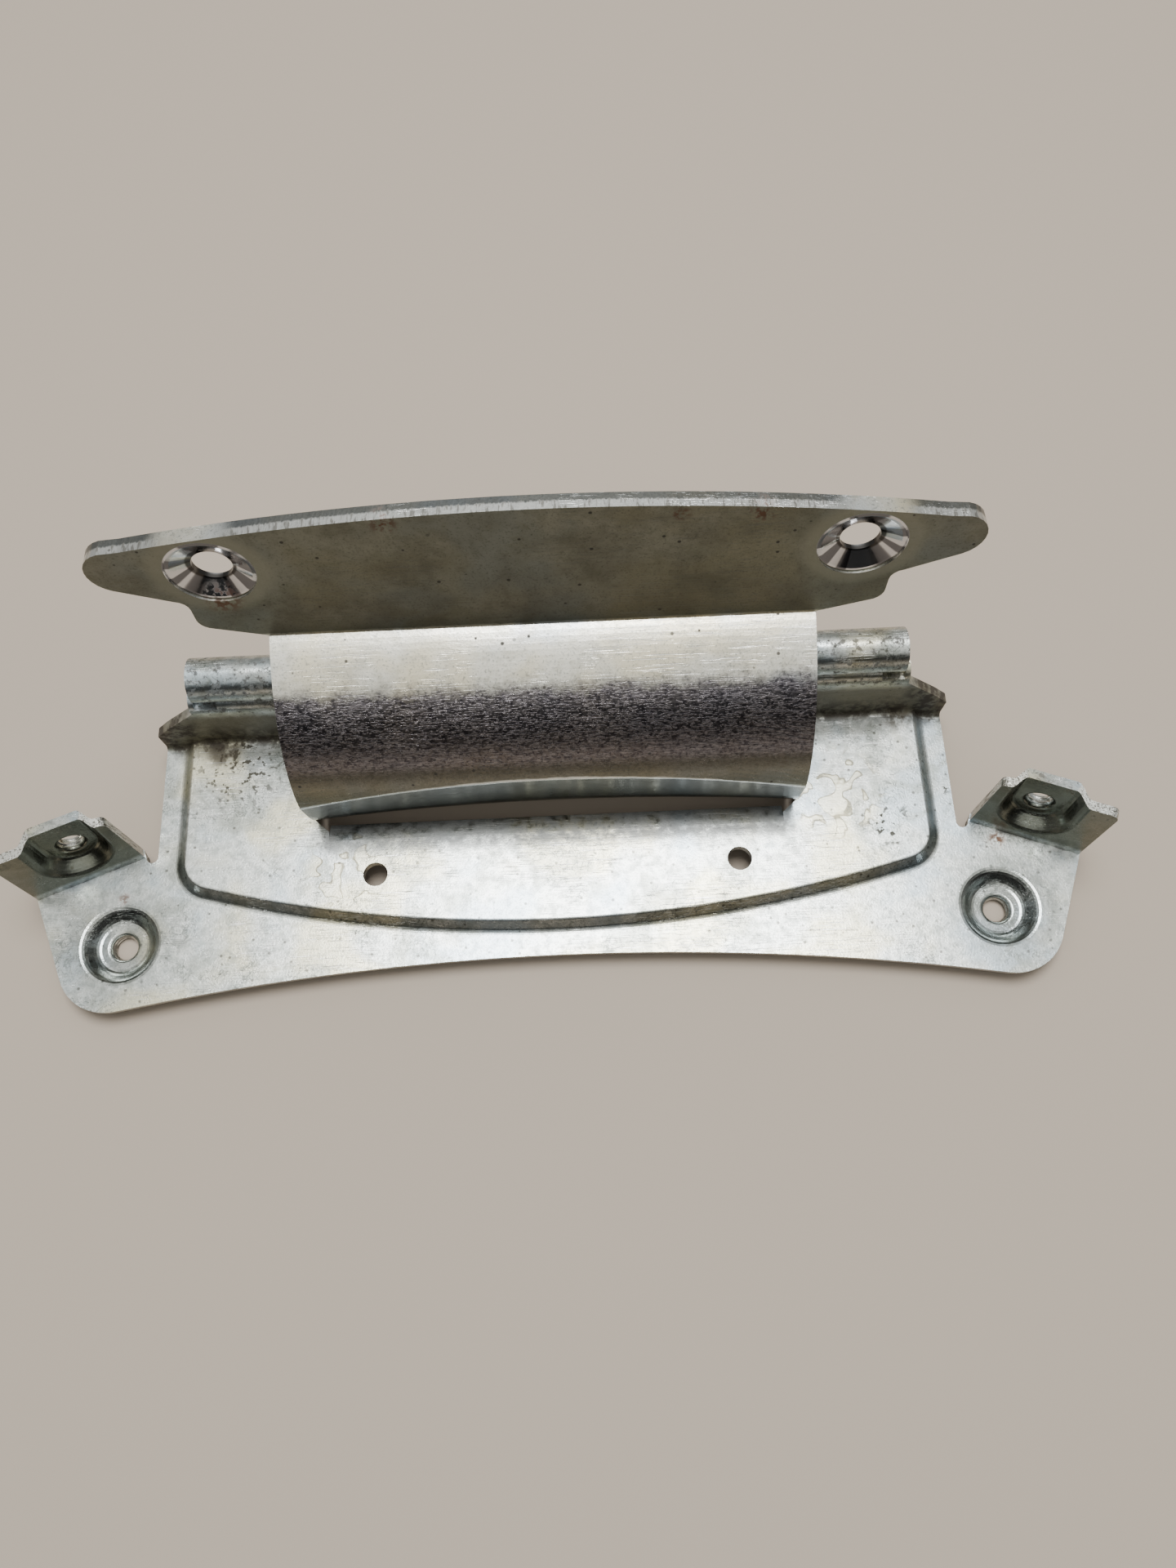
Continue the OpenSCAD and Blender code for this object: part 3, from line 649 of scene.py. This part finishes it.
def platedLeaf():
    # thick pressed steel in bright zinc: the hood mirrors light above and dark below, helped by painted
    # reflections, a painted highlight and painted shade, and the flange's front is filmed and painted in
    # shade
    marks = leafMarks
    metal = startMetal("zincPlatedThickSheet", leafLook["silver"])
    zinc(metal, leafLook)
    flange = maskOf(metal, (metal.z, marks["flangeFoot"] - 0.3, marks["flangeFoot"] + 0.5))
    hood = sumOf(metal, 1.0, (flange, -1.0))
    front = addNode(metal.tree, "VectorMath", {
        0: metal.normal, 1: marks["flangeFace"]}, operation="DOT_PRODUCT")["Value"]
    fibres = hoodReflections(metal, marks, hood)
    tail = tailAndCrease(metal, marks, hood)
    filmAndShade, halo, sink = flangeFilmAndShade(metal, marks, flange, front)
    chatter(metal, marks, flange, sink)
    teeth = leafEdges(metal, marks, flange, hood, front, halo)
    metal.dull.append(pricksOf(metal, marks["pricks"]))
    blotches(metal, marks["rust"])
    # the leaf's folds get painted shade and dirt
    shadeAndDirt = cornerShadeAndDirt(metal, leafLook["corner"])
    paint(metal, leafLook["grimeAndShade"], shadeAndDirt)
    metal.dull.append(shadeAndDirt)

    metal.roughness = sumOf(metal, metal.roughness, (filmAndShade, 0.12), (tail, -0.08))
    roughen(metal, marks["sinkRoughness"], sink, 1.0)
    uncut = sumOf(metal, 1.0, (sink, -0.97))  # the cutter left hardly any relief in the countersinks
    metal.height = sumOf(metal, metal.height, (fibres, 0.6), (teeth, 2.0))
    metal.height = sumOf(metal, 0.0, (metal.height, uncut))
    soil(metal, leafLook)
    return finishMetal(metal, leafLook["relief"])


# The pin, of cold-drawn steel
pinLook = {
    "steel": "#a3a3a0",
    "drawLines": ("#7b7a75", 1.0),
    "brown": ("#5d4a36", 0.7),
    "lineWidth": 0.25,
    "lineLength": 40,  # in widths
    "relief": 0.01,
}


def drawnSteel():
    # plain grey, with draw lines along X and a little brown in them
    metal = startMetal("drawnSteel", pinLook["steel"])
    metal.height = cloud(metal, pinLook["lineWidth"], 2.0, 0.5, stretch=(pinLook["lineLength"], 1, 1))
    paint(metal, pinLook["drawLines"], (metal.height, 0.4, 0.65))
    paint(metal, pinLook["brown"], (cloud(metal, 4.0, 4.0, 0.65), 0.56, 0.7))
    metal.roughness = sumOf(metal, 0.15, (metal.height, 0.2))
    return finishMetal(metal, pinLook["relief"])


finishes = {"bracket": platedBracket(), "door_leaf": platedLeaf(), "hinge_pin": drawnSteel()}
for name, finish in finishes.items():
    mesh = nodes[name].data
    mesh.materials.clear()
    mesh.materials.append(finish)
print("sheets and pin finished")


# M5 threads: the ridges that stand into the four drawn collars
thread = {
    "pitch": 0.8,
    "core": 2.12,  # radius where the ridge leaves the collar's bore
    "crest": 1.86,
    "length": 1.1,
    "halfWidth": 0.42,  # of the ridge at its root, in pitches
    "stepsRound": 48,
    "stepsAcross": 4,
    "steel": "#cfd0cc",
    "oil": ("#6f6a60", 0.7),
    "relief": 0.01,
}


def cutThread():
    # thread flanks cut after plating: bright steel with a little dark oil in the roots
    metal = startMetal("cutThread", thread["steel"])
    metal.height = maskOf(metal, (cloud(metal, 0.8, 3.0, 0.6), 0.45, 0.65))
    paint(metal, thread["oil"], metal.height)
    metal.roughness = sumOf(metal, 0.2, (metal.height, 0.2))
    return finishMetal(metal, thread["relief"])


def threadRidge(name, middle, axis, finish):
    # a V-shaped ridge wound round the bore: radius falls from core to crest and back across the pitch,
    # and fades out over the first and last half turn
    turns = thread["length"] / thread["pitch"]
    around = np.linspace(0.0, turns * 2 * np.pi, int(turns * thread["stepsRound"]) + 1)
    across = np.linspace(-thread["halfWidth"], thread["halfWidth"], 2 * thread["stepsAcross"] + 1)
    a, s = np.meshgrid(around, across, indexing="ij")
    fade = np.clip(np.minimum(a, around[-1] - a) / np.pi, 0.0, 1.0)
    height = (thread["core"] - thread["crest"]) * (1 - np.abs(s) / thread["halfWidth"]) * fade
    radius = thread["core"] - height
    rise = (a / (2 * np.pi) - turns / 2 + s) * thread["pitch"]
    axis = Vector(axis).normalized()
    sideways = axis.orthogonal().normalized()
    upwards = axis.cross(sideways)
    points = (np.array(middle) + radius[..., None] * (np.cos(a)[..., None] * np.array(sideways)
              + np.sin(a)[..., None] * np.array(upwards)) + rise[..., None] * np.array(axis)) * mm
    rows, columns = a.shape
    first = (np.arange(rows - 1)[:, None] * columns + np.arange(columns - 1)).ravel()
    faces = np.stack([first, first + 1, first + columns + 1, first + columns], axis=1)
    mesh = bpy.data.meshes.new(name)
    mesh.from_pydata(points.reshape(-1, 3).tolist(), [], faces.tolist())
    mesh.shade_smooth()
    mesh.materials.append(finish)
    ridge = bpy.data.objects.new(name, mesh)
    bpy.context.scene.collection.objects.link(ridge)
    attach(ridge, "bracket_body")


threadFinish = cutThread()
plateMiddle = thread["length"] / 2 + thread["halfWidth"] * thread["pitch"]  # starts at the collars' ends
for side, x in (("left", -dimpleX), ("right", dimpleX)):
    threadRidge("plate_thread_" + side, Vector((x, 0.0, plateMiddle)), (0, 0, 1), threadFinish)
    hole = mounts["tab_thread_" + side]
    threadRidge("tab_thread_" + side, Vector(hole["pos_m"]) / mm, hole["axis"], threadFinish)
print("threads cut")
